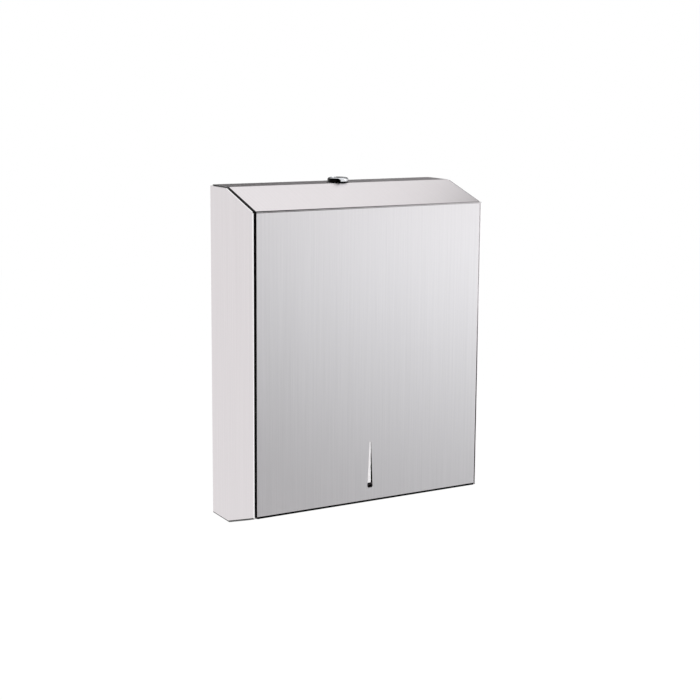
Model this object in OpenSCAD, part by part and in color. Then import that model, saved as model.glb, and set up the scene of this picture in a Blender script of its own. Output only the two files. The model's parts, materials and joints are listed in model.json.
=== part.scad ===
/* [Case] */
// Width over the two cheeks
case_w = 275; // [255:1:320]
// Height over the flat top and the flat bottom
case_h = 355; // [320:1:420]
// Depth from the wall to the front
case_d = 102; // [95:1:140]
// Depth of the flat strip at the top and at the bottom, from the wall
flat_d = 40; // [38:1:48]
// Height that each slope gains between the flat strip and the front
slope_h = 20; // [14:0.5:28]
// Thickness of the sheet of the case
case_t = 1.2; // [0.8:0.1:1.5]
// Outside radius of the folds in the case
case_bend = 2.2; // [1.8:0.1:3]
// Width of the flanges that are folded in under the cheeks
cheek_flange = 12; // [8:1:18]
// Depth of the flange that is folded forward along the top of the back
top_flange = 12; // [10:1:14]
// Distance between the wall screws, side to side
screw_span_x = 180; // [120:5:200]
// Distance between the wall screws, up and down
screw_span_z = 220; // [160:5:240]
// Diameter of each wall screw hole
screw_hole_d = 6; // [4:0.5:8]
// Distance from each side of the case to the centre of its rubber bumper
bumper_side = 42.5; // [38:0.5:60]

/* [Door] */
// Thickness of the sheet of the door
door_t = 1; // [0.8:0.1:1.2]
// Outside radius of the folds in the door
door_bend = 1.6; // [1.3:0.1:2]
// Height of the door's faces above the cheeks' edges beside them
door_proud = 1.2; // [0.6:0.1:1.6]
// Gap between the door and each cheek
side_gap = 1.4; // [1.2:0.1:2.2]
// Gap between the door's flat top and the wall
wall_gap = 0.8; // [0.5:0.1:1.5]
// Depth of the flange that is folded back along each side of the door
door_flange = 14; // [12:1:16]
// Length of the lip that is folded back along the foot of the door
door_lip = 7; // [5:0.5:7.5]
// Corner radius at the two ends of the door's foot
door_foot_r = 2; // [1:0.1:2.2]
// Outside radius of the fold at the door's foot
door_foot_bend = 1.6; // [1.3:0.1:2.8]
// Angle at which the lip stops the open door
open_angle = 75; // [60:1:80]

/* [Sight scoop] */
// Height of the lowest point of the peep hole above the foot of the door
scoop_z = 15.2; // [12:0.1:40]
// Length of the scoop with its peep hole
scoop_l = 50; // [35:1:80]
// Width of the scoop at its foot
scoop_w = 6.3; // [5:0.1:9]
// Width of the scoop at its top
scoop_top_w = 2; // [1.5:0.1:4]
// Depth of the scoop at its foot
scoop_d = 2.6; // [1.5:0.1:4]
// Height of the peep hole below the scoop
peep_h = 4.8; // [4:0.1:8]
// Radius of the peep hole's lower corners
peep_r = 2; // [1:0.1:2.4]

/* [Towel tray] */
// Thickness of the sheet of the tray
tray_t = 1; // [0.8:0.1:1.2]
// Width of the outlet that the towels are pulled through
outlet_w = 190; // [150:1:210]
// Depth of the outlet, front to back
outlet_d = 50; // [40:1:54]
// Width of the ledge between the tray's front edge and the outlet
outlet_ledge = 8.6; // [8:0.1:14]
// Corner radius of the outlet
outlet_r = 19; // [10:1:19]
// Height of the rim that is turned up round the outlet
outlet_rim = 3; // [2:0.5:5]

/* [Hinge] */
// Distance of the hinge pins behind the front
pin_back = 8; // [8:0.5:9]
// Height of the hinge pins above the foot of the door
pin_up = 5; // [5:0.5:7]
// Diameter of each hinge pin
pin_d = 5; // [4:0.5:6]
// Diameter of the pin's head, its washer and its clip
pin_head_d = 9; // [8:0.5:10]

/* [Lock] */
// Distance of the lock's axis behind the fold of the flat top
lock_back = 11.5; // [11.5:0.1:13]
// Diameter of the lock's round head
lock_head_d = 22.5; // [21:0.5:24]
// Height of the lock's round head
lock_head_h = 5.5; // [4:0.5:7]
// Diameter of the lock's threaded barrel
barrel_d = 19; // [18:0.5:19]
// Length of the barrel below the head
barrel_l = 19; // [16:0.5:24]
// Diameter of the turning plug
plug_d = 12; // [10:0.5:13]
// Distance from the wall to the tip of the locked cam
cam_tip_y = 8.5; // [6:0.5:10]
// Length of the cam that lies under the strike when it is locked
cam_hold = 7.5; // [5:0.5:8]
// Width of the cam
cam_w = 14; // [12:0.5:16]
// Thickness of the cam
cam_t = 2.5; // [2:0.5:3]

/* [Hidden] */

steel = [0.80, 0.80, 0.81];
chrome = [0.86, 0.87, 0.88];
zinc = [0.66, 0.67, 0.68];
nylon = [0.92, 0.92, 0.90];
rubber = [0.12, 0.12, 0.12];

// Facets in a full circle, and steps in each fold
$fn = 64;
fold_steps = 5;
// Clearance of a pin or square that is driven into its hole
press_gap = 0.02;
// Running clearance of a pin or plug in its bore
run_gap = 0.05;
// Clearance between faces that pass each other
pass_gap = 0.2;
// Clearance of a piece that comes to rest against another
rest_gap = 0.3;
// Overshoot of a cut past the face that it opens
over = 1;

// The side profile, as points of distance from the wall and height
top_z = case_h / 2;
foot_z = slope_h - top_z;
top_back = [0, top_z];
top_fold = [-flat_d, top_z];
front_top = [-case_d, -foot_z];
front_foot = [-case_d, foot_z];
low_fold = [-flat_d, -top_z];
low_back = [0, -top_z];
// The cheeks' outline lies inside the door's by the height that the door stands proud
cheek_line = inset([top_back, top_fold, front_top, front_foot], door_proud);
cheek_foot = [cheek_line[3][0], slope_at(cheek_line[3][0])];
cheek_profile = [cheek_line[0], cheek_line[1], cheek_line[2], cheek_foot, low_fold, low_back];
cheek_corner = 1;
cheek_foot_corner = 2;
cheek_corners = [for (i = [0:5]) i == 3 ? cheek_foot_corner : cheek_corner];

// Widths worked out from the case, with the back's folds left free
inner_w = case_w - 2 * case_t;
tray_w = inner_w - 2 * (case_bend - case_t) - pass_gap;
door_w = inner_w - 2 * side_gap;
tray_bend = 1.6 * tray_t;

// The hinge axis, the ear that carries it, and the stop for the door's lip
pin_y = pin_back - case_d;
pin_z = foot_z + pin_up;
flange_in = door_w / 2 - door_t;
pin_washer_t = 0.6;
ear_out = flange_in - pass_gap - pin_washer_t;
ear_rim = 1.5;
ear_r = pin_head_d / 2 + ear_rim;
pin_head_t = side_gap - pass_gap - rest_gap;
clip_t = 0.8;
clip_slit = 0.6;
pin_tail = 0.8;
lip_dir = unit(low_fold - front_foot);
lip_end = front_foot + door_lip * lip_dir;
lip_arm = lip_end - [pin_y, pin_z];
lip_turn = atan2(lip_arm[1], lip_arm[0]) + open_angle;
stop_y = pin_y + norm(lip_arm) * cos(lip_turn) + rest_gap;
// The tray and the case's flanges begin behind the sweep of the door's side flange
heel = norm([door_flange - pin_back, pin_up]);
floor_y = max(pin_y + heel + 2 * rest_gap, stop_y + tray_t + rest_gap);
lip_room = 2.5;
lip_w = 2 * (ear_out - lip_room);
slit_w = 0.4;
slit_room = 0.6;

// Heights at the top of the case
door_under = top_z - door_t;
shelf_drop = 2;
shelf_z = door_under - shelf_drop;
shelf_room = 1.5;
shelf_w = 2 * (flange_in - shelf_room);
bumper_d = 8;
bumper_stem_d = 4;
bumper_barb_d = 5.6;
bumper_barb_h = 1.6;
bumper_x = case_w / 2 - bumper_side;
bumper_y = (case_t + top_flange) / 2;

// The scoop is part of an upright cone, whose axis lies in front of the door's face
scoop_low = foot_z + scoop_z + peep_h;
scoop_high = foot_z + scoop_z + scoop_l;
scoop_low_r = (scoop_w * scoop_w / 4 + scoop_d * scoop_d) / (2 * scoop_d);
scoop_out = scoop_low_r - scoop_d;
scoop_high_r = norm([scoop_top_w / 2, scoop_out]);
peep_w = scoop_w + pass_gap;

// Heights in the lock
lock_y = flat_d - lock_back;
cam_reach = lock_y - cam_tip_y;
washer_t = 0.8;
nut_t = 5;
nut_af = 22;
tooth = 1.4;
head_round_w = 3.2;
head_round_h = 2.4;
barrel_gap = 0.15;
barrel_flat = 16;
barrel_end = top_z - barrel_l;
collar_r = plug_d / 2 + 1.5;
collar_t = 1.3;
plug_sunk = 0.3;
key_l = 8;
key_w = 1.7;
key_depth = 9;
stop_t = 1.2;
stop_wall = 0.6;
stop_r = barrel_flat / 2 - stop_wall;
tab_half = 18;
tab_room = 2;
stop_top = barrel_end - pass_gap;
cam_top = stop_top - stop_t;
drive_w = 7;
screw_d = 4;
screw_l = 10;
screw_head_d = 8;
screw_head_t = 2.8;
screw_round = 1.2;
recess_l = 4.4;
recess_w = 1;
recess_h = 1.6;
cam_washer_t = 0.8;
cam_corner = 3;
cam_low = cam_top - cam_t;
cam_gap = 0.5;
strike_t = 1.5;
strike_bend = 1.6 * strike_t;
strike_z = cam_top + cam_gap;
strike_top = shelf_z - case_t - 1.5;
strike_w = 50;
strike_reach = cam_tip_y + cam_hold;

function unit(v) = v / norm(v);
function inward(p, q) = let (v = unit(q - p)) [-v[1], v[0]];
function cross2(a, b) = a[0] * b[1] - a[1] * b[0];
function meet(p, v, q, w) = p + v * cross2(q - p, w) / cross2(v, w);
function reversed(list) = [for (i = [len(list) - 1:-1:0]) list[i]];

// A path moved to its left by d, with its corners kept as mitres
function inset(path, d) = let (n = len(path) - 1) [
    for (i = [0:n])
        i == 0 ? path[0] + d * inward(path[0], path[1]) :
        i == n ? path[n] + d * inward(path[n - 1], path[n]) :
        meet(path[i] + d * inward(path[i - 1], path[i]), path[i] - path[i - 1],
             path[i] + d * inward(path[i], path[i + 1]), path[i + 1] - path[i])];

// The arc of radius r that replaces a corner where a path turns left
function fold_arc(before, corner, after, r) =
    let (n1 = inward(before, corner), n2 = inward(corner, after),
         start = atan2(-n1[1], -n1[0]), turn = acos(min(1, n1 * n2)),
         mid = corner + (n1 + n2) * r / (1 + n1 * n2))
        [for (k = [0:fold_steps]) let (a = start + turn * k / fold_steps)
            mid + r * [cos(a), sin(a)]];

// A left-turning path with an arc of radius r at each inner corner
function folded(path, r) = let (n = len(path) - 1)
    concat([path[0]],
           [for (i = [1:n - 1]) each fold_arc(path[i - 1], path[i], path[i + 1], r)],
           [path[n]]);

// A closed outline with an arc at every corner; r is a list of their radii
function softened(ring, r) = let (n = len(ring))
    [for (i = [0:n - 1]) each fold_arc(ring[(i + n - 1) % n], ring[i], ring[(i + 1) % n], r[i])];

// A path made longer at its two ends
function longer(path, e) = let (n = len(path) - 1) [
    for (i = [0:n])
        i == 0 ? path[0] - e * unit(path[1] - path[0]) :
        i == n ? path[n] + e * unit(path[n] - path[n - 1]) : path[i]];

// The section of a sheet of thickness t that is folded along a path
function sheet(path, t, r) =
    concat(folded(path, r), reversed(folded(inset(path, t), max(r - t, 0.05))));

// The outline of a rectangle with round corners
function round_box(w, h, r) = [
    for (q = [0:3], k = [0:8])
        let (a = 90 * q + 90 * k / 8, sx = q == 0 || q == 3 ? 1 : -1, sy = q < 2 ? 1 : -1)
            [sx * (w / 2 - r) + r * cos(a), sy * (h / 2 - r) + r * sin(a)]];

// Extrudes a section of distance and height over a width, side to side
module across(w) {
    rotate([90, 0, 90]) linear_extrude(w, center = true) children();
}

// The cutter that rounds one long edge: a corner less a quarter round
module edge_cutter(p, q, half_w, r) {
    n = inward(p, q);
    v = unit(q - p);
    steps = fold_steps;
    multmatrix([[-1, 0, 0, half_w],
                [0, n[0], v[0], p[0] - r * v[0]],
                [0, n[1], v[1], p[1] - r * v[1]],
                [0, 0, 0, 1]])
        linear_extrude(norm(q - p) + 2 * r)
            polygon(concat([[-over, -over], [r, -over]],
                           [for (k = [0:steps]) let (a = 270 - 90 * k / steps)
                               [r + r * cos(a), r + r * sin(a)]],
                           [[-over, r]]));
}

// A band along a path, with its two long edges rounded
module edged_band(path, band_d, w, r) {
    difference() {
        across(w) polygon(concat(folded(path, r), reversed(inset(path, band_d))));
        for (side = [0, 1], i = [0:len(path) - 2])
            mirror([side, 0, 0]) edge_cutter(path[i], path[i + 1], w / 2, r);
    }
}

// Height of the underside of the slope at a distance y from the wall
function slope_at(y) =
    front_foot[1] + (y - front_foot[0]) * (low_fold[1] - front_foot[1])
        / (low_fold[0] - front_foot[0]);

// Repeats a piece on the left, mirrored from the right
module both_sides() {
    for (side = [0, 1]) mirror([side, 0, 0]) children();
}

// A bar along the case's width, such as a pin or a drill
module cross_rod(d, x0, x1) {
    translate([x0, pin_y, pin_z]) rotate([0, 90, 0]) cylinder(d = d, h = x1 - x0);
}

// A ring along the hinge axis
module cross_ring(outer_d, inner_d, x0, t) {
    difference() {
        cross_rod(outer_d, x0, x0 + t);
        cross_rod(inner_d, x0 - over, x0 + t + over);
    }
}

// The solid that the case's sheet wraps, moved inwards by d
module case_block(d, r) {
    low_path = inset([front_foot, low_fold, low_back], d);
    long_path = longer(low_path, 2 * over);
    w = case_w - 2 * d;
    difference() {
        intersection() {
            linear_extrude(case_h + 4 * over, center = true)
                polygon(softened([[w / 2, -case_d - 2 * r - over], [w / 2, -d],
                                  [-w / 2, -d], [-w / 2, -case_d - 2 * r - over]], [r, r, r, r]));
            across(case_w + over)
                polygon(d == 0 ? softened(cheek_profile, cheek_corners) :
                        concat(long_path, [[long_path[2][0], top_z + over],
                                           [long_path[0][0], top_z + over]]));
        }
        both_sides() {
            edge_cutter(low_path[0], low_path[1], w / 2, r);
            edge_cutter(low_path[1], low_path[2], w / 2, r);
        }
    }
}

// One folded sheet: the back, two cheeks, the flanges below them and a shelf along the top
module cabinet() {
    well_w = case_w - 2 * cheek_flange;
    color(steel)
    difference() {
        union() {
            difference() {
                case_block(0, case_bend);
                case_block(case_t, case_bend - case_t);
                // The well between the bottom flanges
                translate([-well_w / 2, -case_d - over, -top_z - over])
                    cube([well_w, case_d + over - cheek_flange, slope_h + 2 * over]);
                // The corner that the door's foot swings through
                translate([-inner_w / 2, -case_d - over, -top_z - over])
                    cube([inner_w, floor_y + case_d + over, slope_h + 3 * over]);
                // The back is lower than the door's flat top, and folds forward there
                translate([-tray_w / 2, -2 * case_t, shelf_z])
                    cube([tray_w, 2 * case_t + over, top_z]);
                translate([-shelf_w / 2, -2 * case_t, shelf_z - case_bend])
                    cube([shelf_w, 2 * case_t + over, top_z]);
            }
            across(shelf_w)
                polygon(sheet([[0, shelf_z - 2 * case_bend], [0, shelf_z], [-top_flange, shelf_z]],
                              case_t, case_bend));
        }
        for (x = [-1, 1], z = [-1, 1])
            translate([x * screw_span_x / 2, over, z * screw_span_z / 2])
                rotate([90, 0, 0]) cylinder(d = screw_hole_d, h = case_t + 2 * over);
        for (x = [-bumper_x, bumper_x])
            translate([x, -bumper_y, shelf_z - case_t - over])
                cylinder(d = bumper_stem_d + 2 * run_gap, h = case_t + 2 * over);
    }
}

// The ear at each end of the tray's front edge, which carries a hinge pin
module hinge_ear() {
    back_y = stop_y + tray_t;
    difference() {
        intersection() {
            translate([0, 0, pin_z - ear_r])
                linear_extrude(2 * ear_r)
                    polygon(sheet([[ear_out, pin_y - ear_r], [ear_out, back_y],
                                   [ear_out - 3 * ear_r, back_y]], tray_t, tray_bend));
            union() {
                cross_rod(2 * ear_r, 0, case_w);
                translate([0, pin_y, pin_z - ear_r]) cube([case_w, back_y - pin_y, 2 * ear_r]);
            }
        }
        cross_rod(pin_d + 2 * press_gap, 0, case_w);
    }
}

// The bottom of the case, with the outlet, the front edge that stops the door, and two ears
module towel_tray() {
    floor_line = inset([front_foot, low_fold, low_back], case_t);
    rise = floor_line[0] - front_foot;
    back_end = [-case_t - rest_gap, floor_line[1][1]];
    function under(y) = slope_at(y - rise[0]) + rise[1];
    wide = [[floor_y, under(floor_y)], floor_line[1], back_end];
    edge = [[stop_y, pin_z - 1], [stop_y, under(stop_y)], floor_line[1], back_end];
    color(steel)
    difference() {
        union() {
            across(tray_w) polygon(sheet(wide, tray_t, tray_bend));
            across(2 * (ear_out - tray_bend)) polygon(sheet(edge, tray_t, tray_bend));
            both_sides() hinge_ear();
            intersection() {
                across(tray_w)
                    polygon(concat(wide, reversed(inset(wide, tray_t + outlet_rim))));
                outlet_prism(outlet_w + 2 * tray_t, outlet_d + 2 * tray_t, outlet_r + tray_t);
            }
        }
        outlet_prism(outlet_w, outlet_d, outlet_r);
    }
}

module outlet_prism(w, d, r) {
    translate([0, floor_y + outlet_ledge + outlet_d / 2, -top_z - over])
        linear_extrude(2 * slope_h) polygon(round_box(w, d, r));
}

// The pressed scoop, which deepens and widens towards its foot
module scoop_cone(wall) {
    translate([0, -case_d - scoop_out, scoop_low - over])
        cylinder(h = scoop_high - scoop_low + over, r1 = scoop_low_r + wall, r2 = scoop_high_r + wall);
}

// The back of the scoop, which stands out of the door's inner face above the peep hole
module scoop_back() {
    intersection() {
        scoop_cone(door_t);
        translate([-scoop_w, -case_d + door_t / 2, scoop_low])
            cube([2 * scoop_w, scoop_d + door_t, scoop_l]);
    }
}

// The peep hole below the scoop: a slot with round lower corners
module peep_slot() {
    translate([0, -case_d + scoop_d + 2 * door_t, scoop_low - peep_h]) rotate([90, 0, 0])
        linear_extrude(scoop_d + 2 * door_t + over) intersection() {
            translate([0, peep_h]) polygon(round_box(peep_w, 2 * peep_h, peep_r));
            translate([-peep_w, 0]) square([2 * peep_w, peep_h]);
        }
}

// What is cut away for the scoop and its peep hole, as one piece
module scoop_opening() {
    union() {
        peep_slot();
        scoop_cone(0);
    }
}

// What is cut away to round one end of the door's foot
module foot_corner() {
    translate([door_w / 2 - door_foot_r, -case_d + door_flange + over, foot_z + door_foot_r])
        rotate([90, 0, 0]) linear_extrude(door_flange + 2 * over) difference() {
            translate([0, -door_foot_r - over]) square(door_foot_r + over);
            circle(door_foot_r);
        }
}

// The slit where two flanges of the door meet at a fold
module mitre_slit(p, corner, q) {
    b = unit(inward(p, corner) + inward(corner, q));
    s = [-b[1], b[0]] * slit_w / 2;
    near = corner + b * (door_bend + slit_room);
    far = corner + b * 2 * door_flange;
    across(door_w + over) polygon([near - s, near + s, far + s, far - s]);
}

// One folded sheet: flat top, slope, front with its foot lip, and flanges down both sides
module door() {
    panel = [[-wall_gap, top_z], top_fold, front_top, front_foot];
    lip_start = front_foot + [0, 3 * door_foot_bend];
    color(steel)
    difference() {
        union() {
            difference() {
                edged_band(panel, door_flange, door_w, door_bend);
                edged_band(longer(inset(panel, door_t), 2 * over), door_flange + 2 * over,
                           door_w - 2 * door_t, door_bend - door_t);
                translate([-lip_w / 2, -case_d - over, foot_z - over])
                    cube([lip_w, door_flange, 2 * door_foot_bend + over]);
                both_sides()
                    translate([shelf_w / 2, -2.5 * case_t, door_under - 2 * door_flange])
                        cube([door_w / 2, 3 * case_t, 2 * door_flange]);
                mitre_slit(panel[0], panel[1], panel[2]);
                mitre_slit(panel[1], panel[2], panel[3]);
            }
            across(lip_w) polygon(sheet([lip_start, front_foot, lip_end], door_t, door_foot_bend));
            scoop_back();
        }
        scoop_opening();
        both_sides() foot_corner();
        cross_rod(pin_d + 2 * run_gap, -case_w / 2, case_w / 2);
        translate([0, -lock_y, top_z - 2 * door_t])
            linear_extrude(3 * door_t) barrel_section(barrel_gap);
    }
}

// The angle that the cam locks under
module latch_strike() {
    color(zinc)
    across(strike_w)
        polygon(sheet([[-strike_reach, strike_z], [-case_t, strike_z],
                       [-case_t, strike_top]], strike_t, strike_bend));
}

// A headed pin through the door's flange, the washer and the ear
module hinge_pin() {
    x_head = door_w / 2 + pass_gap;
    x_end = ear_out - tray_t - clip_t - pin_tail;
    color(zinc) {
        cross_rod(pin_d, x_end, x_head + pin_head_t / 2);
        cross_rod(pin_head_d, x_head, x_head + pin_head_t);
    }
}

module hinge_washer() {
    color(nylon) cross_ring(pin_head_d + 1, pin_d + 2 * run_gap, ear_out, pin_washer_t);
}

// The push-on ring that holds the pin in its ear, slit round its hole so that it grips
module hinge_clip() {
    x = ear_out - tray_t - clip_t;
    color(zinc)
    difference() {
        cross_ring(pin_head_d, pin_d + 2 * press_gap, x, clip_t);
        translate([x, pin_y, pin_z]) rotate([0, 90, 0])
            for (a = [0:60:300]) rotate(a)
                translate([pin_d / 2 - pass_gap, -clip_slit / 2, -over])
                    cube([(pin_head_d - pin_d) / 4, clip_slit, clip_t + 2 * over]);
    }
}

// A rubber button pushed into the shelf, for the door's flat top to close on
module bumper(x) {
    color(rubber)
    translate([x, -bumper_y, 0]) {
        translate([0, 0, shelf_z]) cylinder(d = bumper_d, h = door_under - rest_gap - shelf_z);
        translate([0, 0, shelf_z - case_t - over]) cylinder(d = bumper_stem_d, h = case_t + 2 * over);
        translate([0, 0, shelf_z - case_t - bumper_barb_h])
            cylinder(d1 = bumper_stem_d / 2, d2 = bumper_barb_d, h = bumper_barb_h);
    }
}

// The barrel's outline, a circle with two flats
module barrel_section(gap) {
    intersection() {
        circle(d = barrel_d + 2 * gap);
        square([barrel_flat + 2 * gap, 2 * barrel_d], center = true);
    }
}

// Places a piece on the lock's axis
module on_lock(z) {
    translate([0, -lock_y, z]) children();
}

// A slice of a disc between two angles
module sector(r, a0, a1) {
    polygon(concat([[0, 0]], [for (k = [0:12]) let (a = a0 + (a1 - a0) * k / 12)
        r * [cos(a), sin(a)]]));
}

// The head, the flatted barrel and the C-shaped stop at its end, with the plug's bore
module lock_body() {
    shoulder = [lock_head_d / 2 - head_round_w, lock_head_h - head_round_h];
    color(chrome)
    difference() {
        union() {
            on_lock(top_z) rotate_extrude()
                polygon(concat([[0, 0], [lock_head_d / 2, 0]],
                               [for (a = [0:15:90])
                                   shoulder + [head_round_w * cos(a), head_round_h * sin(a)]],
                               [[0, lock_head_h]]));
            on_lock(barrel_end) linear_extrude(barrel_l + over) barrel_section(0);
            on_lock(cam_top + 2 * pass_gap) linear_extrude(barrel_end - cam_top) difference() {
                barrel_section(0);
                circle(r = stop_r + pass_gap);
                sector(2 * barrel_d, 45 - tab_half - tab_room, 135 + tab_half + tab_room);
            }
        }
        on_lock(barrel_end - over)
            cylinder(d = plug_d + 2 * run_gap, h = barrel_l + lock_head_h + 2 * over);
        on_lock(top_z + lock_head_h - plug_sunk - collar_t)
            cylinder(r = collar_r + run_gap, h = plug_sunk + collar_t + over);
    }
}

// The toothed washer between the nut and the sheet
module lock_washer() {
    color(zinc)
    on_lock(door_under - washer_t) linear_extrude(washer_t) difference() {
        union() {
            circle(d = nut_af - 1);
            for (a = [0:30:330]) rotate(a)
                translate([(nut_af - tooth) / 2 - run_gap, -tooth / 2]) square([tooth / 2, tooth]);
        }
        circle(d = barrel_d + pass_gap);
    }
}

module lock_nut() {
    color(zinc)
    on_lock(door_under - washer_t - nut_t) difference() {
        rotate(30) cylinder(d = nut_af / cos(30), h = nut_t, $fn = 6);
        translate([0, 0, -over]) cylinder(d = barrel_d + 2 * run_gap, h = nut_t + 2 * over);
    }
}

// The turning plug: its face with the key slot, its shank, and the square that drives the cam
module lock_plug() {
    face_z = top_z + lock_head_h - plug_sunk;
    color(chrome)
    difference() {
        union() {
            on_lock(face_z - collar_t + run_gap) cylinder(r = collar_r, h = collar_t - run_gap);
            on_lock(stop_top) cylinder(d = plug_d, h = face_z - stop_top);
            on_lock(cam_low + pass_gap) linear_extrude(stop_top - cam_low)
                square(drive_w, center = true);
        }
        on_lock(face_z - key_depth) linear_extrude(key_depth + over)
            square([key_l, key_w], center = true);
        on_lock(cam_low - over) cylinder(d = screw_d + 2 * press_gap, h = screw_l + 2 * over);
    }
}

// Keeps the turn to a quarter: its tab meets the ends of the barrel's stop
module stop_washer() {
    color(zinc)
    on_lock(cam_top) linear_extrude(stop_t) difference() {
        union() {
            circle(r = stop_r);
            intersection() {
                circle(r = barrel_d / 2 - pass_gap);
                sector(2 * barrel_d, 45 - tab_half, 45 + tab_half);
            }
        }
        square(drive_w + 2 * press_gap, center = true);
    }
}

// The flat arm that swings under the strike
module lock_cam() {
    color(zinc)
    on_lock(cam_low) linear_extrude(cam_t) difference() {
        union() {
            circle(d = cam_w);
            translate([0, -cam_w / 2]) square([cam_reach - cam_corner, cam_w]);
            translate([0, cam_corner - cam_w / 2]) square([cam_reach, cam_w - 2 * cam_corner]);
            for (s = [-1, 1]) translate([cam_reach - cam_corner, s * (cam_w / 2 - cam_corner)])
                circle(cam_corner);
        }
        square(drive_w + 2 * press_gap, center = true);
    }
}

module cam_washer() {
    color(zinc)
    on_lock(cam_low - cam_washer_t) difference() {
        cylinder(d = 1.25 * screw_head_d, h = cam_washer_t);
        translate([0, 0, -over]) cylinder(d = screw_d + rest_gap, h = 2 * over + cam_washer_t);
    }
}

// A pan-head screw with a cross recess
module cam_screw() {
    low = cam_low - cam_washer_t;
    color(zinc)
    difference() {
        union() {
            on_lock(low) cylinder(d = screw_d, h = screw_l);
            on_lock(low - screw_head_t) rotate_extrude()
                polygon(concat([[0, screw_head_t], [screw_head_d / 2, screw_head_t]],
                               [for (a = [0:18:90])
                                   [screw_head_d / 2 - screw_round, screw_round]
                                       + screw_round * [cos(a), -sin(a)]],
                               [[0, 0]]));
        }
        for (a = [0, 90]) on_lock(low - screw_head_t - over) rotate(a)
            translate([-recess_l / 2, -recess_w / 2, 0]) cube([recess_l, recess_w, recess_h + over]);
    }
}

cabinet();
towel_tray();
door();
latch_strike();
mirror([1, 0, 0]) hinge_pin();  // hinge_pin_left
hinge_pin();  // hinge_pin_right
mirror([1, 0, 0]) hinge_washer();  // hinge_washer_left
hinge_washer();  // hinge_washer_right
mirror([1, 0, 0]) hinge_clip();  // hinge_clip_left
hinge_clip();  // hinge_clip_right
bumper(-bumper_x);  // bumper_left
bumper(bumper_x);  // bumper_right
lock_body();
lock_washer();
lock_nut();
lock_plug();
stop_washer();
lock_cam();
cam_washer();
cam_screw();
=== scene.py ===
# %% [markdown]
# # A wall-mounted dispenser for folded paper towels, in brushed stainless steel
#
# The CAD model gives the real sheet metal: a case that screws to the wall, a door that
# tips forward on two pins, and a cam lock in the door's flat top. This lesson dresses
# that model. It loads the imported parts, sets a camera and a small studio round them,
# gives every part its finish, and shades every part smooth across its folds.

# %% Load the imported model
import json
import math

import bmesh
import bpy
from mathutils import Matrix, Vector


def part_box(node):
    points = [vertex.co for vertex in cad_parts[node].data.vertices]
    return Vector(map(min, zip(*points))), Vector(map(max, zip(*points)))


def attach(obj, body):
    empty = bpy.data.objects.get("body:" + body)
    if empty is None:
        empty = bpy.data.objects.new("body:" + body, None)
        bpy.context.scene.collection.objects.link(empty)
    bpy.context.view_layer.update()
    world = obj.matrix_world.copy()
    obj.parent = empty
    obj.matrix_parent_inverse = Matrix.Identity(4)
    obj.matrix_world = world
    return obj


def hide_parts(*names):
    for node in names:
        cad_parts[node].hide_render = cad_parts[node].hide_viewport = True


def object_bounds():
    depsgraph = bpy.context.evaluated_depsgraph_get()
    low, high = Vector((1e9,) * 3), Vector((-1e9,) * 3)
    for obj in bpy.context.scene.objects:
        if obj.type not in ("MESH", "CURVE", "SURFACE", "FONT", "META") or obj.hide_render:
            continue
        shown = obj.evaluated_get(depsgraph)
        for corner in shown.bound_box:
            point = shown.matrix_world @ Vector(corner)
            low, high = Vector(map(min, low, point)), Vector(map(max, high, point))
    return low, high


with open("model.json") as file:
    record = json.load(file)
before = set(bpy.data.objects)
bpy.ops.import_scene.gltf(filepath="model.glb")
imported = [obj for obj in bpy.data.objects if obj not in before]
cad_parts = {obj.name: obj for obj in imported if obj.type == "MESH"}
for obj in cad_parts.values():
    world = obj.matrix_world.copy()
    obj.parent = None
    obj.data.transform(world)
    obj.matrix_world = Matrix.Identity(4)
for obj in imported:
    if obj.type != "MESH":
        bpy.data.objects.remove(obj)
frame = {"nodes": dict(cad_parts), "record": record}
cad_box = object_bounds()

MM = 0.001
NODES = frame["nodes"]

# %% [markdown]
# ## The camera
#
# The picture was taken from the left and a little above, with a long lens: the upright
# edges are nearly parallel. A camera needs a place, a direction and a lens. The place is
# found by going back from the middle of the case along the line of sight, which is easier
# to change than three bare coordinates. The small shift raises the optical axis in the
# picture, as a rising front does, so that the upright edges stay almost parallel.

# %% Camera
SENSOR = 36.0          # sensor width in millimetres
LENS_PIXELS = 1459.5   # focal length in pixels of a picture that is 700 wide
PICTURE = 700.0
AXIS_ROW = 320.0       # picture row of the optical axis; the middle row is 350
YAW, PITCH, ROLL = math.radians(29.99), math.radians(9.65), math.radians(0.43)
AIM = Vector((2.4, -52.5, 31.1)) * MM
DISTANCE = 1.57

forward = Vector((math.sin(YAW) * math.cos(PITCH), math.cos(YAW) * math.cos(PITCH),
                  -math.sin(PITCH)))
camera_data = bpy.data.cameras.new("Camera")
camera_data.sensor_width = SENSOR
camera_data.lens = SENSOR * LENS_PIXELS / PICTURE
camera_data.shift_y = (AXIS_ROW - PICTURE / 2) / PICTURE
camera = bpy.data.objects.new("Camera", camera_data)
bpy.context.scene.collection.objects.link(camera)
camera.location = AIM - forward * DISTANCE
camera.rotation_mode = "QUATERNION"
camera.rotation_quaternion = (forward.to_track_quat("-Z", "Y")
                              @ Matrix.Rotation(ROLL, 4, "Z").to_quaternion())
bpy.context.scene.camera = camera
bpy.context.scene.view_settings.view_transform = "Standard"
print("lens %.1f mm, camera at" % camera_data.lens, [round(v, 3) for v in camera.location])

# %% [markdown]
# ## Colours and shader nodes
#
# A colour picked on a screen is an sRGB value, and the shader wants linear light, so one
# function turns a hex colour into linear numbers. A second small function adds any shader
# node with its settings and its links. The others start a material and turn a noise into
# two tones.

# %% Helpers for colour and nodes
def linear(hex_colour, alpha=True):
    """Linear light of an sRGB hex colour such as 'C8C6C4'."""
    parts = [int(hex_colour[i:i + 2], 16) / 255 for i in (0, 2, 4)]
    light = [p / 12.92 if p <= 0.04045 else ((p + 0.055) / 1.055) ** 2.4 for p in parts]
    return light + [1.0] if alpha else light


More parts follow.
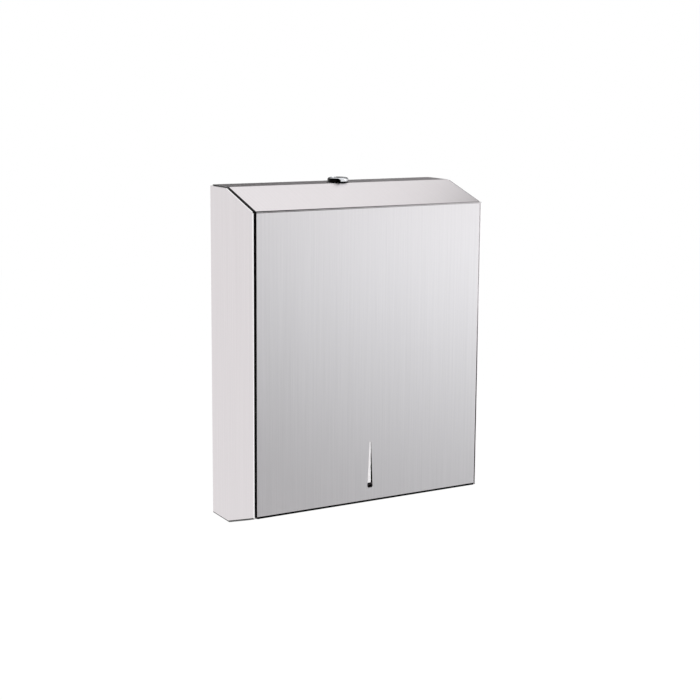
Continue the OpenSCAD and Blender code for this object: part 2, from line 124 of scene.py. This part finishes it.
def add(tree, kind, sockets=None, **settings):
    """Adds a shader node; a socket gets a value, or a link if it is given another socket."""
    made = tree.nodes.new("ShaderNode" + kind)
    for name, value in settings.items():
        setattr(made, name, value)
    for name, value in (sockets or {}).items():
        if isinstance(value, bpy.types.NodeSocket):
            tree.links.new(value, made.inputs[name])
        else:
            made.inputs[name].default_value = value
    return made


def new_material(name):
    """An empty material with its output node: gives the material, its tree and the output."""
    material = bpy.data.materials.new(name)
    material.use_nodes = True
    material.node_tree.nodes.clear()
    output = add(material.node_tree, "OutputMaterial")
    return material, material.node_tree, output


def two_tones(tree, amount, light_hex, dark_hex):
    """A colour that goes from dark to light as the noise goes from 0.3 to 0.7."""
    ramp = add(tree, "ValToRGB", {"Fac": amount})
    low, high = ramp.color_ramp.elements
    low.position, high.position = 0.3, 0.7
    low.color, high.color = linear(dark_hex), linear(light_hex)
    return ramp.outputs["Color"]


print("mid grey 808080 is", round(linear("808080")[0], 3), "in linear light")

# %% [markdown]
# ## Masks
#
# A mask is a number from 0 to 1 that says where on the part a colour goes. Each one starts
# as a range of a coordinate or of a normal. Multiplying ranges keeps the place where all of
# them hold, and the maximum of masks keeps every place where one holds.

# %% Helpers for masks
def split(tree, vector):
    """The X, Y and Z sockets of a vector socket."""
    parts = add(tree, "SeparateXYZ", {"Vector": vector})
    return [parts.outputs[axis] for axis in "XYZ"]


def between(value, low, high):
    """1 where a value lies between two limits, else 0."""
    return add(value.id_data, "Math", {0: value, 1: (low + high) / 2, 2: (high - low) / 2},
               operation="COMPARE").outputs[0]


def joined(operation, first, *others):
    """Masks multiplied (all of them) or the greatest of them (any of them)."""
    for other in others:
        first = add(first.id_data, "Math", {0: first, 1: other}, operation=operation).outputs[0]
    return first


print("mask helpers: split, between, joined")

# %% [markdown]
# ## The studio
#
# Brushed metal has no colour of its own to speak of: it shows what stands round it. So the
# studio is built first. The world and the floor are white, and the floor lies well below,
# because this product hangs on a wall. A few dark cards stand where the flat top and the
# lock look, as a product photographer sets them. Only reflections see the cards: they throw
# no shadow on the white floor.

# %% A flat sheet for floor and cards
FLOOR_Z = -0.9


def flat_sheet(name, centre, size, facing, hex_colour):
    """A rectangle of one colour; facing is the way that its front looks."""
    bm = bmesh.new()
    bmesh.ops.create_grid(bm, x_segments=1, y_segments=1, size=0.5)
    bmesh.ops.scale(bm, vec=(size[0], size[1], 1), verts=bm.verts)
    turn = Vector(facing).to_track_quat("Z", "Y").to_matrix()
    bmesh.ops.rotate(bm, matrix=turn, verts=bm.verts)
    bmesh.ops.translate(bm, vec=centre, verts=bm.verts)
    mesh = bpy.data.meshes.new(name)
    bm.to_mesh(mesh)
    bm.free()
    sheet = bpy.data.objects.new(name, mesh)
    bpy.context.scene.collection.objects.link(sheet)
    material, tree, output = new_material(name)
    paint = add(tree, "BsdfDiffuse", {"Color": linear(hex_colour)})
    tree.links.new(paint.outputs[0], output.inputs["Surface"])
    mesh.materials.append(material)
    return sheet


def reflected_only(sheet):
    """Lets nothing but mirror and gloss reflections see a sheet."""
    sheet.visible_camera = sheet.visible_diffuse = False
    sheet.visible_shadow = sheet.visible_transmission = False
    return sheet


flat_sheet("floor", (0, 0, FLOOR_Z), (14, 14), (0, 0, 1), "FFFFFF")
print("floor", FLOOR_Z, "m below the screws")

# %% [markdown]
# ## Cards for the reflections
#
# A mirror direction decides each card's place. The flat top and the lock look back just
# above the horizon, so a card behind the case darkens them and leaves the slope pale. The
# foot of the door looks down and back, and the left edge looks past the camera. Brushed
# sheet smears what it reflects, so a card makes a soft change on a face. The cards are
# few and small, because each one also shows in the views from other sides.

# %% Cards
CARDS = {   # centre, size, the way that it faces, colour
    "card_behind": ((1.45, 1.9, 0.52), (3.2, 1.24), (0, -1, 0), "0A0A0A"),
    "card_below_behind": ((1.05, 1.65, -0.86), (1.5, 1.4), (0, 0, 1), "0A0A0A"),
    "card_by_camera": ((-0.85, -2.05, 0.36), (1.9, 1.24), (0.34, 0.94, 0), "0A0A0A"),
    "card_back_right": ((1.79, 0.94, 1.35), (1.1, 1.1), (-1.8, -0.9, -1.3), "4A4A4C"),
}
for name, (centre, size, facing, colour) in CARDS.items():
    reflected_only(flat_sheet(name, centre, size, facing, colour))
print("cards:", len(CARDS))

# %% [markdown]
# ## The graduated board
#
# The front reflects what stands low to the right of the camera. A photographer puts a
# board there that is pale above and darker below, and paler to the right. It is a plane
# whose emission is the product of two ramps on Object coordinates, in metres.

# %% Graduated board
board = reflected_only(flat_sheet("graduated_board", (0.95, -1.5, -0.42), (2.6, 0.95),
                                  (-0.53, 0.85, 0), "FFFFFF"))
tree = board.data.materials[0].node_tree
board_x, board_y, board_z = split(tree, add(tree, "TexCoord").outputs["Object"])
rise = add(tree, "MapRange", {"Value": board_z, "From Min": -0.78, "From Max": -0.1,
                              "To Min": 0.37, "To Max": 1.06})
reach = add(tree, "MapRange", {"Value": board_x, "From Min": 0.0, "From Max": 1.0,
                               "To Min": 0.1, "To Max": 1.42})
level = add(tree, "Math", {0: rise.outputs[0], 1: reach.outputs[0]}, operation="MULTIPLY")
glow = add(tree, "Emission", {"Color": linear("F7FCFD"), "Strength": level.outputs[0]})
tree.links.new(glow.outputs[0], tree.nodes["Material Output"].inputs["Surface"])
print("board in place")

# %% [markdown]
# ## World and lamps
#
# The white world gives most of the light, from all sides, so the case looks pale in every
# view. Two large soft lamps add a slow change from right to left and a little light on top.

# %% World
world = bpy.data.worlds.new("Studio")
bpy.context.scene.world = world
world.use_nodes = True
background = world.node_tree.nodes["Background"]
background.inputs["Color"].default_value = linear("FFFFFF")
background.inputs["Strength"].default_value = 1.0
print("world:", world.name)

# %% Lamps
def soft_lamp(name, place, size, radiance, aim=AIM):
    """A rectangular area lamp whose face is `radiance` times as bright as the white world."""
    lamp_data = bpy.data.lights.new(name, "AREA")
    lamp_data.shape = "RECTANGLE"
    lamp_data.size, lamp_data.size_y = size
    lamp_data.energy = radiance * math.pi * size[0] * size[1]
    lamp = bpy.data.objects.new(name, lamp_data)
    bpy.context.scene.collection.objects.link(lamp)
    lamp.location = place
    lamp.rotation_mode = "QUATERNION"
    lamp.rotation_quaternion = (aim - Vector(place)).to_track_quat("-Z", "Y")
    return lamp


soft_lamp("right_softbox", (1.7, -1.1, 0.6), (1.1, 0.9), 1.5)
soft_lamp("top_softbox", (0.62, 1.15, 1.35), (1.2, 0.9), 0.1)

# %% [markdown]
# ## Where the folds and edges lie
#
# A fold or a cut edge of this sheet is about a millimetre wide, and in a picture of the
# whole case that is one dark or one bright line. Reflections alone draw it too weakly, so
# the line is painted into the steel's colour. Each mask is a box in Object coordinates, which
# are the CAD's own metres, or a range of normals, or both, and the door takes its lines along
# when it opens. Painted highlights lie on the sheared edges at the sides, the floor of the
# scoop and the gap at the right. Painted shade and painted dark reflections lie on the right
# wall of the scoop, the bends that turn downwards, the fold above the front, the door's bends
# at its sides, and the fold at its foot.

# %% Masks of the painted highlights and painted shade on folds and edges
# BLACK is the colour of the painted shade and painted dark reflections, BRIGHT the colour of the
# painted highlights.
BLACK, BRIGHT = "0C0C0C", "FCFAFB"
HALF_WIDE, FRONT = cad_box[1][0], cad_box[0][1]
SCOOP_HALF_WIDE, SCOOP_DEEP = 3.4 * MM, 3.4 * MM
SCOOP_HEIGHTS = (-137.5 * MM, -92.3 * MM)
FOOT_BEND, TOP_BEND = -155.3 * MM, 156.3 * MM    # where the front's flat face ends
ANY = 1.1                                        # just past the longest normal


def painted_highlights(tree, x, y, z, nx, ny, nz):
    """The mask of the painted highlights on the side edges, the scoop's floor and the gap at the
    right, and the mask of the scoop's box.
    """
    out_side = add(tree, "Math", {0: x}, operation="ABSOLUTE").outputs[0]
    # Painted highlight along the sheared edges at the sides.
    sheared = joined("MULTIPLY", between(out_side, HALF_WIDE - 1.25 * MM, HALF_WIDE + MM),
                     between(nx, -0.6, 0.6), between(nz, -ANY, 0.97))
    scoop = joined("MULTIPLY", between(x, -SCOOP_HALF_WIDE, SCOOP_HALF_WIDE),
                   between(y, FRONT + 0.15 * MM, FRONT + SCOOP_DEEP),
                   between(z, *SCOOP_HEIGHTS), between(ny, -ANY, 0.3))
    # Painted highlight on the floor of the scoop.
    scoop_highlight = joined("MULTIPLY", scoop, between(nx, -0.6, ANY))
    # Painted light over the gap at the right, fading out towards the bottom.
    higher = add(tree, "MapRange", {"Value": z, "From Min": -0.1, "From Max": 0.05,
                                    "To Min": 0.0, "To Max": 1.0}).outputs[0]
    right_gap = joined("MULTIPLY", between(x, HALF_WIDE - 3.3 * MM, HALF_WIDE - MM),
                       between(y, FRONT + 0.5 * MM, FRONT + 5 * MM), higher)
    return joined("MAXIMUM", sheared, scoop_highlight, right_gap), scoop


def painted_dark_lines(tree, scoop, x, y, z, nx, ny, nz):
    """The mask of the painted shade and painted dark reflections along the folds, the seam and
    the scoop's wall.
    """
    out_side = add(tree, "Math", {0: x}, operation="ABSOLUTE").outputs[0]
    at_front = between(y, FRONT - MM, FRONT + 0.1 * MM)
    # The painted line along the top fold is full at the left and half as dark at the right.
    fade = add(tree, "MapRange", {"Value": x, "From Min": -HALF_WIDE, "From Max": HALF_WIDE,
                                  "To Min": 1.0, "To Max": 0.5}).outputs[0]
    # Painted dark reflection on the fold above the front and just under it.
    under_fold = joined("MULTIPLY", between(z, TOP_BEND - 0.45 * MM, TOP_BEND + 0.2 * MM),
                        at_front)
    fold = joined("MULTIPLY", between(ny, -0.97, -0.40), between(nz, 0.2, 1.0))
    top_bend = joined("MULTIPLY", joined("MAXIMUM", fold, under_fold), fade)
    # Painted shade in the seam, on the door's side bends that face left.
    side_bends = joined("MULTIPLY", between(nx, -0.97, -0.3), between(nz, -0.1, 1.0),
                        between(out_side, HALF_WIDE - 8 * MM, HALF_WIDE - 2 * MM))
    # Painted dark reflection along the fold at the door's foot.
    foot_bend = joined("MULTIPLY", at_front, between(z, -0.17, FOOT_BEND))
    # Painted shade on the scoop's right wall.
    scoop_wall = joined("MULTIPLY", scoop, between(nx, -ANY, -0.6))
    # Painted dark reflection on every bend that turns downwards.
    turned_down = between(nz, -0.94, -0.10)
    return joined("MAXIMUM", scoop_wall, turned_down, top_bend, side_bends, foot_bend)


print("front at y = %.1f mm, side at x = %.1f mm" % (FRONT / MM, HALF_WIDE / MM))

# %% [markdown]
# ## Brushed stainless steel
#
# The case, the tray and the door are AISI 304 sheet with a brushed (satin) finish: an
# abrasive belt leaves fine parallel scratches, here from top to bottom. They spread a
# reflection sideways and leave it sharper along the brush, which is what the anisotropic
# setting does. The streaks themselves are noise that is stretched along the brush. Real
# lines are about 0.1 mm wide, too fine to show, so they are drawn 0.5 mm and 2 mm wide.
# The fine direction is x on faces that look forwards or up, and y on the cheeks. Ambient
# occlusion paints shade into the steel's colour in gaps, where little light reaches. The
# masks above add painted highlights and painted dark lines.

# %% Brushed steel
def brushed_steel(name, light_hex, dark_hex, roughness):
    """Steel sheet with streaks, painted shade in its gaps, and the painted highlights and painted
    dark lines of its folds and edges.
    """
    material, tree, output = new_material(name)
    where = add(tree, "TexCoord")
    x, y, z = split(tree, where.outputs["Object"])
    nx, ny, nz = split(tree, where.outputs["Normal"])
    side = add(tree, "Math", {0: nx}, operation="ABSOLUTE")
    is_side = add(tree, "Math", {0: side.outputs[0], 1: 0.7}, operation="GREATER_THAN")
    across = add(tree, "Mix", {"Factor": is_side.outputs[0], "A": x, "B": y})
    run = add(tree, "Math", {0: z, 1: y}, operation="SUBTRACT")
    along = add(tree, "Mix", {"Factor": is_side.outputs[0], "A": run.outputs[0], "B": z})
    brush = add(tree, "CombineXYZ", {"X": across.outputs[0], "Y": along.outputs[0],
                                     "Z": is_side.outputs[0]})

    def streaks(width_mm, length_mm, detail):
        """Noise that is stretched along the brush."""
        scaled = add(tree, "Mapping", {"Vector": brush.outputs[0],
                                       "Scale": (1 / (width_mm * MM), 1 / (length_mm * MM), 7.0)})
        return add(tree, "TexNoise", {"Vector": scaled.outputs[0], "Scale": 1.0,
                                      "Detail": detail, "Roughness": 0.6}).outputs["Fac"]

    fine, broad = streaks(0.5, 60, 2.0), streaks(2.2, 240, 1.0)
    both = add(tree, "Mix", {"Factor": 0.45, "A": fine, "B": broad})
    tone = two_tones(tree, both.outputs[0], light_hex, dark_hex)
    rough = add(tree, "MapRange", {"Value": fine, "From Min": 0.3, "From Max": 0.7,
                                   "To Min": roughness - 0.04, "To Max": roughness + 0.04})
    scratch = add(tree, "Bump", {"Height": fine, "Strength": 0.12, "Distance": 0.05 * MM})
    on_face = add(tree, "CombineXYZ", {"X": 1.0, "Y": is_side.outputs[0], "Z": 0.0})
    spread = add(tree, "VectorTransform", {"Vector": on_face.outputs[0]}, vector_type="VECTOR",
                 convert_from="OBJECT", convert_to="WORLD")
    # Painted shade: ambient occlusion blackens the colour in gaps and crevices.
    open_air = add(tree, "AmbientOcclusion", {"Distance": 6 * MM}, samples=8)
    crevice_shade = add(tree, "MapRange", {"Value": open_air.outputs["AO"], "From Min": 0.35,
                                     "From Max": 0.8, "To Min": 0.0, "To Max": 1.0})

    bright, scoop = painted_highlights(tree, x, y, z, nx, ny, nz)
    dark = painted_dark_lines(tree, scoop, x, y, z, nx, ny, nz)
    clear = joined("MAXIMUM", crevice_shade.outputs[0], bright)
    unshaded = add(tree, "Math", {0: clear, 1: dark}, operation="SUBTRACT", use_clamp=True)
    # Painted highlights are matt near-white. Painted shade and the painted dark lines are black.
    highlighted = add(tree, "Mix", {"Factor": bright, "A": tone, "B": linear(BRIGHT)},
                   data_type="RGBA")
    painted_shade_colour = add(tree, "Mix", {"Factor": unshaded.outputs[0], "A": linear(BLACK),
                               "B": highlighted.outputs["Result"]}, data_type="RGBA")
    matt = add(tree, "MapRange", {"Value": bright, "To Min": 1.0, "To Max": 0.1})
    steel = add(tree, "BsdfPrincipled", {"Base Color": painted_shade_colour.outputs["Result"],
                                         "Metallic": matt.outputs[0],
                                         "Roughness": rough.outputs[0], "Anisotropic": 0.7,
                                         "Normal": scratch.outputs[0],
                                         "Tangent": spread.outputs[0]})
    tree.links.new(steel.outputs[0], output.inputs["Surface"])
    return material


steel_sheet = brushed_steel("stainless_304_brushed", "E4DFE1", "DBD6D8", 0.32)
print("made", steel_sheet.name)

# %% [markdown]
# ## Chrome, zinc, nylon and rubber
#
# The lock's head is die-cast and chromed: a mirror with a faint unevenness from the
# casting. Its round side carries painted dark reflections in bands, and painted shade in a
# ring at its foot. The nut, pins and cam are zinc-plated steel, duller, with a slight mottle
# in the passivated layer. The hinge washers are natural nylon, and the two buttons are rubber.

# %% The small parts' finishes
LOCK_FOOT, LOCK_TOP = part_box("door")[1][2], cad_box[1][2]
# The ring at the foot of the lock's head is painted shade.
SHADE_RING = 1.5 * MM      # height of the dark ring at the foot of the lock's head


def painted_reflections_and_shade(tree, where, colour):
    """Painted dark reflections in bands on the lock head's round side, as a mirror rim takes from
    a dark room, and painted shade in a ring at its foot.
    """
    z = split(tree, where.outputs["Object"])[2]
    nx, ny, nz = split(tree, where.outputs["Normal"])
    head = joined("MULTIPLY", between(z, LOCK_FOOT, LOCK_TOP + MM), between(nz, -0.3, 0.8))
    # Painted shade in a ring at the head's foot.
    ring = between(z, LOCK_FOOT, LOCK_FOOT + SHADE_RING)
    # Painted dark reflections on the left and the right of the round side.
    left, right = between(nx, -ANY, -0.3), between(nx, 0.72, ANY)
    bands = joined("MULTIPLY", head, joined("MAXIMUM", ring, left, right))
    return add(tree, "Mix", {"Factor": bands, "A": colour, "B": linear(BLACK)},
               data_type="RGBA").outputs["Result"]


def speckled(name, light_hex, dark_hex, grain_mm, metallic, rough_low, rough_high, relief=0.0,
             recolour=None):
    """A finish whose colour and roughness wander over grains of one size."""
    material, tree, output = new_material(name)
    where = add(tree, "TexCoord")
    noise = add(tree, "TexNoise", {"Vector": where.outputs["Object"],
                                   "Scale": 1 / (grain_mm * MM), "Detail": 3.0}).outputs["Fac"]
    colour = two_tones(tree, noise, light_hex, dark_hex)
    if recolour:
        colour = recolour(tree, where, colour)
    rough = add(tree, "MapRange", {"Value": noise, "From Min": 0.3, "From Max": 0.7,
                                   "To Min": rough_low, "To Max": rough_high})
    sockets = {"Base Color": colour, "Metallic": metallic, "Roughness": rough.outputs[0]}
    if relief:
        bump = add(tree, "Bump", {"Height": noise, "Strength": 0.3, "Distance": relief * MM})
        sockets["Normal"] = bump.outputs[0]
    surface = add(tree, "BsdfPrincipled", sockets)
    tree.links.new(surface.outputs[0], output.inputs["Surface"])
    return material


finishes = {
    "brushed_sheet": steel_sheet,
    "lock_chrome": speckled("chrome_plated_zinc", "E4E5E8", "D6D8DC", 2.5, 1.0, 0.06, 0.12,
                            recolour=painted_reflections_and_shade),
    "zinc_plate": speckled("zinc_plated_steel", "BFC3C6", "A3A8AD", 0.8, 1.0, 0.3, 0.42, 0.02),
    "nylon": speckled("natural_nylon", "E9E7DF", "DEDBD0", 1.5, 0.0, 0.4, 0.5),
    "bumper_rubber": speckled("black_rubber", "2B2B2B", "1E1E1E", 0.6, 0.0, 0.6, 0.75, 0.02),
}
print("finishes:", sorted(finishes))

# %% [markdown]
# ## Pieces made from the CAD nodes
#
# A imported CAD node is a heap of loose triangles, so every facet of a fold would show. A
# copy is merged into one skin and shaded smooth across edges that turn by less than 25
# degrees. Weighted normals keep each big flat face flat right up to its fold. The shape
# stays the CAD shape, and the copy stands for its node.

# %% Merge and smooth the sheets
SMOOTH_UP_TO = math.radians(25)


def smooth_copy(node, finish, name):
    """A merged copy of a CAD node that stands for it, smooth across its small turns."""
    bm = bmesh.new()
    bm.from_mesh(NODES[node].data)
    bmesh.ops.remove_doubles(bm, verts=bm.verts, dist=0.001 * MM)
    for face in bm.faces:
        face.smooth = True
    for edge in bm.edges:
        edge.smooth = edge.calc_face_angle(math.pi) < SMOOTH_UP_TO
    mesh = bpy.data.meshes.new(name)
    bm.to_mesh(mesh)
    bm.free()
    piece = bpy.data.objects.new(name, mesh)
    bpy.context.scene.collection.objects.link(piece)
    mesh.materials.append(finishes[finish])
    weigh = piece.modifiers.new("Flat faces stay flat", "WEIGHTED_NORMAL")
    weigh.keep_sharp = True
    body = next(b for b, members in frame["record"]["behaviour"]["bodies"].items()
                if node in members)
    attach(piece, body)
    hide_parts(node)
    return piece


MADE_OF = {
    "brushed_sheet": ["cabinet", "towel_tray", "door"],
    "lock_chrome": ["lock_body", "lock_plug"],
    "zinc_plate": ["latch_strike", "hinge_pin_left", "hinge_pin_right", "hinge_clip_left",
                   "hinge_clip_right", "lock_washer", "lock_nut", "stop_washer", "lock_cam",
                   "cam_washer", "cam_screw"],
    "nylon": ["hinge_washer_left", "hinge_washer_right"],
    "bumper_rubber": ["bumper_left", "bumper_right"],
}
pieces = {}
for finish, nodes in MADE_OF.items():
    for node in nodes:
        pieces[node] = smooth_copy(node, finish, node + "_shown")
print("pieces:", len(pieces), "of", len(NODES), "nodes")
